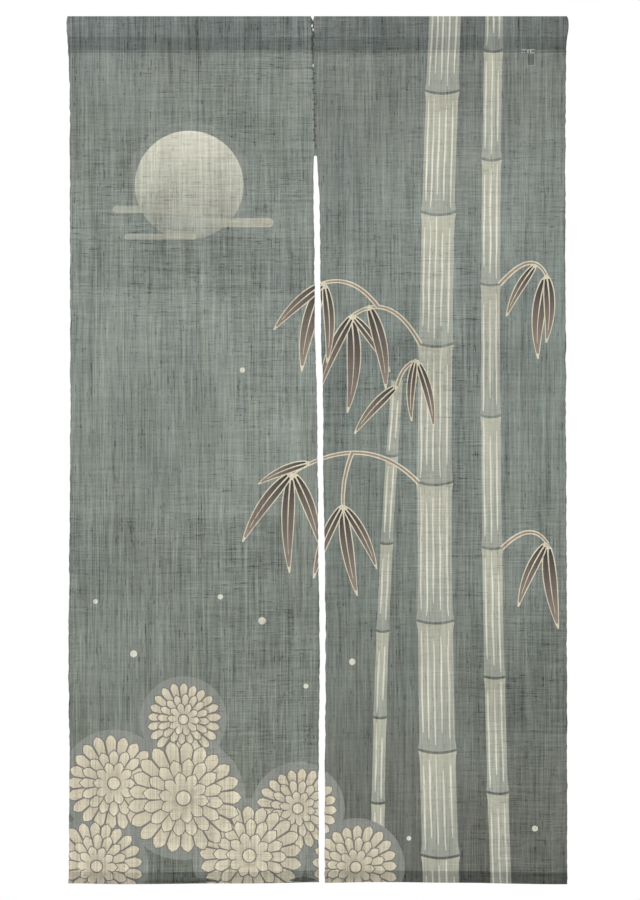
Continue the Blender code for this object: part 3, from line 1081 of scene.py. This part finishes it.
def plies(path):
    """The two plies of a thread along this path, laid round each other."""
    strands = [[], []]
    length = 0.0
    for n, place in enumerate(path):
        before, after = path[max(0, n - 1)], path[min(len(path) - 1, n + 1)]
        tangent = (after - before).normalized()
        beside = tangent.cross(Vector((0, 1, 0))).normalized()
        turn = 2 * math.pi * length / PLY_TURN
        apart = PLY_APART * (beside * math.cos(turn) + beside.cross(tangent) * math.sin(turn))
        strands[0].append(place + apart)
        strands[1].append(place - apart)
        length += (after - place).length
    return strands


def thread(name, runs, radius, material, on=None):
    """A piece of sewing: a thin round thread along each run of points, on a width of cloth."""
    bpy.ops.object.select_all(action="DESELECT")
    bpy.ops.object.add(type="CURVE", location=(0, 0, 0))
    piece = bpy.context.object
    piece.name = name
    line = piece.data
    line.dimensions = "3D"
    line.bevel_depth = radius * MM
    line.bevel_resolution = 1
    line.use_fill_caps = True
    for run in runs:
        spline = line.splines.new("POLY")
        spline.points.add(len(run) - 1)
        for point, place in zip(spline.points, run):
            point.co = (*(place * MM), 1)
    bpy.ops.object.convert(target="MESH")
    piece = bpy.context.object
    piece.data.name = name
    piece.data.materials.append(material)
    piece.parent = on
    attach(piece, "root")


FLECK = 0.9  # the size of the thread's light and dark flecks
FUZZ = 0.2


def spun(name, dark, light, rough):
    """Spun thread: matt, with the light and dark flecks of its fibres."""
    made, tree = bare_material(name)
    place = add(tree, "ShaderNodeTexCoord").outputs["Object"]
    flecks = add(tree, "ShaderNodeTexNoise", {"Vector": place, "Scale": 1 / (FLECK * MM), "Detail": 3.0})
    mixed = {0: flecks, 6: (*linear(dark), 1), 7: (*linear(light), 1)}
    colour = add(tree, "ShaderNodeMix", mixed, data_type="RGBA").outputs[2]
    bump = add(tree, "ShaderNodeBump", {"Height": flecks, "Strength": 0.5, "Distance": FUZZ * MM})
    finish_with(tree, {"Base Color": colour, "Roughness": rough, "Normal": bump.outputs[0]})
    return made


dark_hemp = spun("dark_hemp_thread", "#2C2E29", "#4E504A", rough=0.75)
crossed = []
steps = round((LACES[-1].below - LACES[0].below) / LACE_STEP)
for n in range(steps + 1):
    below = LACES[0].below + LACE_STEP * n
    across, proud = (along_table(LACES, "below", column, below) for column in ("across", "proud"))
    crossed.append(on_front("left", seam_at(below) + across, below, proud))
runs = plies(crossed)
for number in range(KNOTS):
    below = FIRST_KNOT + KNOT_PITCH * number + uneven(KNOT_UNEVEN, number)
    middle = seam_at(below) + KNOT_ASIDE * (-1) ** number
    for lean in (1, -1):
        # Each knot is two short stitches that cross
        half = KNOT_HALF * (1 + uneven(KNOT_LONGER, number, lean))
        places = [(middle + half * t, below + KNOT_SLOPE * lean * t, up) for t, up in KNOT_SHAPE]
        runs.append(rounded([on_front("left", *place) for place in places], KNOT_STEPS))
thread("seam_lacing", runs, LACE_RADIUS, dark_hemp)

# The single plies, and plies laid in the gap between the selvedges, on the back of the sleeve too.
# Their dark line along the seam is partly thread and partly a painted shadow of the gap
PLY_RADIUS = 0.32
GapPlyAndShadow = namedtuple("GapPlyAndShadow", "top foot face")
GAP_PLIES_AND_SHADOW = (GapPlyAndShadow(28, 83, on_front), GapPlyAndShadow(89, 237, on_front), GapPlyAndShadow(26, 60, on_back))
BETWEEN_STEP = 3
BETWEEN_ASIDE = Uneven(by=0.25, turn=1.7)
BETWEEN_PROUD = Uneven(by=0.1, turn=1.0)
singles = []
for rows in SINGLES:
    route = [on_front("left", seam_at(row.below) + row.across, row.below, row.proud) for row in rows]
    singles.append(rounded(route))
for top, foot, face in GAP_PLIES_AND_SHADOW:
    heights = spread(top, foot, round((foot - top) / BETWEEN_STEP))
    places = [(seam_at(b) + uneven(BETWEEN_ASIDE, b), b, uneven(BETWEEN_PROUD, b)) for b in heights]
    singles.append([face("left", *place) for place in places])
thread("seam_thread", singles, PLY_RADIUS, dark_hemp)

# The bar tack, front and back
tack_runs = []
for row in range(TACK_ROWS):
    below = TACK_TOP + TACK_PITCH * row
    half = TACK_HALF * (1 + uneven(TACK_LONGER, row))
    places = [(seam_at(TACK_TOP) + half * t, below + TACK_SLOPE * t, up) for t, up in TACK_SHAPE]
    for face in (on_front, on_back):
        tack_runs.append(rounded([face("left", *place) for place in places], TACK_STEPS))
thread("bar_tack", tack_runs, TACK_RADIUS, spun("grey_hemp_thread", "#767873", "#9FA29B", rough=0.8))

# The sleeve's stitches
#
# A running stitch of thin dark grey thread goes through the front, the turned-in end and the
# back just above the sleeve's foot, on both widths.

SLEEVE_STITCH_AT = 61.2
SLOW_WANDER = Wander(by=0.4, over=31)
QUICK_WANDER = Wander(by=0.2, over=7.3)
STITCH_PITCH = 5.4
STITCH_UNEVEN = Uneven(by=0.5, turn=2.3)
STITCH_LENGTH = 2.6
STITCH_LONGER = Uneven(by=0.25, turn=3.7)
STITCH_RADIUS = 0.3
STITCH_SHAPE = ((-0.5, -0.4), (-0.35, 0.12), (0.35, 0.12), (0.5, -0.4))  # along, and proud
STITCH_CLEAR = 5.0  # the stitches start this far from each selvedge


def stitch_places(start, end, below, pitch):
    """X of each stitch of a row across a width of cloth."""
    left, right = selvedge(start, below) + STITCH_CLEAR, selvedge(end, below) - STITCH_CLEAR
    return [left + pitch * number for number in range(int((right - left) / pitch))]


def stitch_line(x):
    slow = SLOW_WANDER.by * math.sin(x / SLOW_WANDER.over)
    return SLEEVE_STITCH_AT + slow + QUICK_WANDER.by * math.sin(x / QUICK_WANDER.over)


grey_cotton = spun("grey_cotton_thread", "#45473F", "#65675F", rough=0.8)
for side, start, end in WIDTHS:
    runs = []
    for number, place in enumerate(stitch_places(start, end, SLEEVE_STITCH_AT, STITCH_PITCH)):
        length = STITCH_LENGTH * (1 + uneven(STITCH_LONGER, number))
        for face, shift in ((on_front, 0.0), (on_back, STITCH_PITCH / 2)):
            x = place + uneven(STITCH_UNEVEN, number) + shift
            runs.append([face(side, x + length * t, stitch_line(x), up) for t, up in STITCH_SHAPE])
    thread(f"sleeve_stitches_{side}", runs, STITCH_RADIUS, grey_cotton, widths[side])

# The hem's stitches
#
# The hem is slip-stitched by hand at the back with the same grey cotton. Each slanting stitch
# picks up the cloth just above the hem, where a prick of it shows on the front.

HEM_STITCH_PITCH = 7.0
HEM_STITCH_UNEVEN = Uneven(by=0.7, turn=1.9)
HEM_STITCH_RADIUS = 0.22
HEM_STITCH_SLANT = 2.6
SLANT_UNEVEN = Uneven(by=0.2, turn=2.9)
HEM_CATCH = 1.6  # how far the stitches reach above and below the hem's edge
CATCH_PROUD = 0.1
PRICK = 0.9

# Each goes on over the hem: how far along its slant, how far below the hem's edge, how proud
OverHem = namedtuple("OverHem", "share down proud")
OVER_HEM = (OverHem(0.5, 0.4, 0.25), OverHem(1.0, HEM_CATCH, 0.15), OverHem(1.1, HEM_CATCH, -0.3))

caught = DROP - HEM - HEM_CATCH
for side, start, end in WIDTHS:
    runs = []
    for number, place in enumerate(stitch_places(start, end, DROP - HEM, HEM_STITCH_PITCH)):
        x = place + uneven(HEM_STITCH_UNEVEN, number)
        slant = HEM_STITCH_SLANT * (1 + uneven(SLANT_UNEVEN, number))
        stitch = [on_back(side, x, caught, -SHEET), on_back(side, x, caught, CATCH_PROUD)]
        for share, down, proud in OVER_HEM:
            along = hem_back + LAYER - down
            stitch.append(hang(side, x + slant * share, along) + Vector((0, SHEET / 2 + proud, 0)))
        runs.append(stitch)
        runs.append([on_front(side, x + PRICK * t, caught, up) for t, up in STITCH_SHAPE])
    thread(f"hem_stitches_{side}", runs, HEM_STITCH_RADIUS, grey_cotton, widths[side])

# The labels
#
# A small woven label is sewn to the back of the right sleeve over its stitch line, and a care
# label hangs from under its foot. Both are plain pale polyester tape, and the white stitches
# that hold the upper one come through to the front.

TAPE = 0.35
TAPE_AWAY = 0.35  # from the cloth's back to the middle of the upper tape
TAPE_FALL = 0.02  # how fast the tape nears the cloth below the sleeve's foot
TAPE_STEP = 1.0
TAPE_RIB = 0.6
CARE_TUCK = 2.0  # of the care label's height, under the upper one's foot
TAPES_APART = 0.03
ABOVE_FOOT = 0.01  # above the sleeve's foot, where the tapes are set against its back
WAVES = 3.2  # a wave texture of scale 1 has about this many waves to a unit
SOILING = 4.0
RIB_DEPTH = 0.1


def tape_at(x, below, nearer=0.0):
    """The place of a tape's middle at the back of the right width."""
    foot = on_back("right", x, min(below, STITCHED - ABOVE_FOOT), TAPE_AWAY - nearer)
    return Vector((x, foot.y - TAPE_FALL * max(0.0, below - STITCHED), -below))


def tape_piece(name, node, tuck, nearer, material):
    """A rectangle of tape in the place of the solid that it stands for."""
    low, high = (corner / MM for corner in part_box(node))
    top, foot = -high.z - tuck, -low.z
    across = spread(low.x, high.x, round((high.x - low.x) / TAPE_STEP))
    shape = bmesh.new()
    rib_uv = shape.loops.layers.uv.new("tape")
    grid = []
    for below in spread(top, foot, round((foot - top) / TAPE_STEP)):
        grid.append([shape.verts.new(tape_at(x, below, nearer) * MM) for x in across])
    for upper, lower in zip(grid, grid[1:]):
        for n in range(len(across) - 1):
            face = shape.faces.new((upper[n + 1], upper[n], lower[n], lower[n + 1]))
            face.smooth = True
            for loop in face.loops:
                loop[rib_uv].uv = (loop.vert.co.x, loop.vert.co.z)
    piece = thickened(name, shape, TAPE)
    piece.data.materials.append(material)
    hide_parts(node)
    return piece


def woven_tape():
    """Polyester tape: pale and slightly glossy, with fine ribs across it."""
    made, tree = bare_material("woven_polyester_tape")
    place = add(tree, "ShaderNodeUVMap", uv_map="tape")
    waves = {"Vector": place, "Scale": 1 / (WAVES * TAPE_RIB * MM), "Distortion": 0.4}
    ribs = add(tree, "ShaderNodeTexWave", waves, bands_direction="Y").outputs[1]
    soiled = add(tree, "ShaderNodeTexNoise", {"Vector": place, "Scale": 1 / (SOILING * MM), "Detail": 2.0})
    mixed = {0: soiled, 6: (*linear("#D2D5D1"), 1), 7: (*linear("#E6E8E4"), 1)}
    colour = add(tree, "ShaderNodeMix", mixed, data_type="RGBA").outputs[2]
    bump = add(tree, "ShaderNodeBump", {"Height": ribs, "Strength": 0.3, "Distance": RIB_DEPTH * MM})
    finish_with(tree, {"Base Color": colour, "Roughness": 0.55, "Normal": bump.outputs[0]})
    return made


tape = woven_tape()
sewn_label = tape_piece("name_tape", "name_label", 0.0, 0.0, tape)
sewn_label.parent = widths["right"]
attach(sewn_label, "root")
care_label = tape_piece("care_tape", "care_label", CARE_TUCK, TAPE + TAPES_APART, tape)
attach(care_label, "root")

# Rows of white stitches, with two bars down the middle of the label
LabelRow = namedtuple("LabelRow", "below start end")
LABEL_ROWS = (
    LabelRow(57.2, 351.8, 362.4),
    LabelRow(57.6, 366.4, 378.4),
    LabelRow(58.6, 353.4, 362.4),
    LabelRow(62.6, 352.6, 362.4),
    LabelRow(62.8, 369.8, 378.2),
)
BAR_X = (364.0, 368.6)
BAR_ROWS = (57.4, 58.7, 60.0, 61.3, 62.6)
LABEL_STITCH_PITCH = 3.3
LABEL_STITCH_LENGTH = 1.9
LABEL_STITCH_RADIUS = 0.48

places = [(x, below) for x in BAR_X for below in BAR_ROWS]
for row in LABEL_ROWS:
    stitches = int((row.end - row.start) / LABEL_STITCH_PITCH)
    places += [(row.start + LABEL_STITCH_PITCH * (n + 0.5), row.below) for n in range(stitches)]
runs = []
for x, below in places:
    reach = [(x + LABEL_STITCH_LENGTH * t, up) for t, up in STITCH_SHAPE]
    runs.append([on_front("right", at, below, up) for at, up in reach])
    runs.append([tape_at(at, below, -TAPE / 2 - up) for at, up in reach])
white_polyester = spun("white_polyester_thread", "#B9BFC0", "#DDE1E1", rough=0.6)
thread("label_stitches", runs, LABEL_STITCH_RADIUS, white_polyester, widths["right"])

# The studio
#
# A plain pale floor under the hem, white light from all round with one soft lamp to the front
# and left, and a long lens that looks straight at the dyed side.

FLOOR_BELOW = 2.0
bpy.ops.object.select_all(action="DESELECT")
bpy.ops.mesh.primitive_plane_add(size=9, location=(0, -0.4, -FLOOR_BELOW))
floor = bpy.context.object
floor.name = "floor"
paint = bpy.data.materials.new("matt_floor_paint")
paint.use_nodes = True
floor_finish = paint.node_tree.nodes["Principled BSDF"].inputs
floor_finish["Base Color"].default_value = (*linear("#F1F1EF"), 1)
floor_finish["Roughness"].default_value = 0.8
floor.data.materials.append(paint)

sky = bpy.data.worlds.new("white_studio")
sky.use_nodes = True
sky.node_tree.nodes["Background"].inputs[0].default_value = (1, 1, 1, 1)
sky.node_tree.nodes["Background"].inputs[1].default_value = 1.0
bpy.context.scene.world = sky
bpy.context.scene.view_settings.view_transform = "Standard"

lamp_data = bpy.data.lights.new("soft_lamp", "AREA")
lamp_data.shape = "DISK"
lamp_data.size = 2.2
lamp_data.energy = 30
lamp = bpy.data.objects.new("soft_lamp", lamp_data)
lamp.location = (-2.6, -3.4, 1.2)
lamp.rotation_euler = (Vector((0, 0, -0.75)) - lamp.location).to_track_quat("-Z", "Y").to_euler()
bpy.context.scene.collection.objects.link(lamp)

# The picture is 900 pixels high, and each of them is 1.73 mm at the cloth
PIXEL = 1.73
PICTURE_HEIGHT = 900
VIEW_MIDDLE = Vector((4.3, 0, -750.3)) * MM
CAMERA_BACK = 7.0
camera_data = bpy.data.cameras.new("camera")
camera_data.sensor_fit = "VERTICAL"
camera_data.sensor_height = 24
camera_data.lens = camera_data.sensor_height * CAMERA_BACK / (PICTURE_HEIGHT * PIXEL * MM)
camera = bpy.data.objects.new("camera", camera_data)
camera.location = VIEW_MIDDLE + Vector((0, -CAMERA_BACK, 0))
camera.rotation_euler = (math.pi / 2, 0, 0)
bpy.context.scene.collection.objects.link(camera)
bpy.context.scene.camera = camera
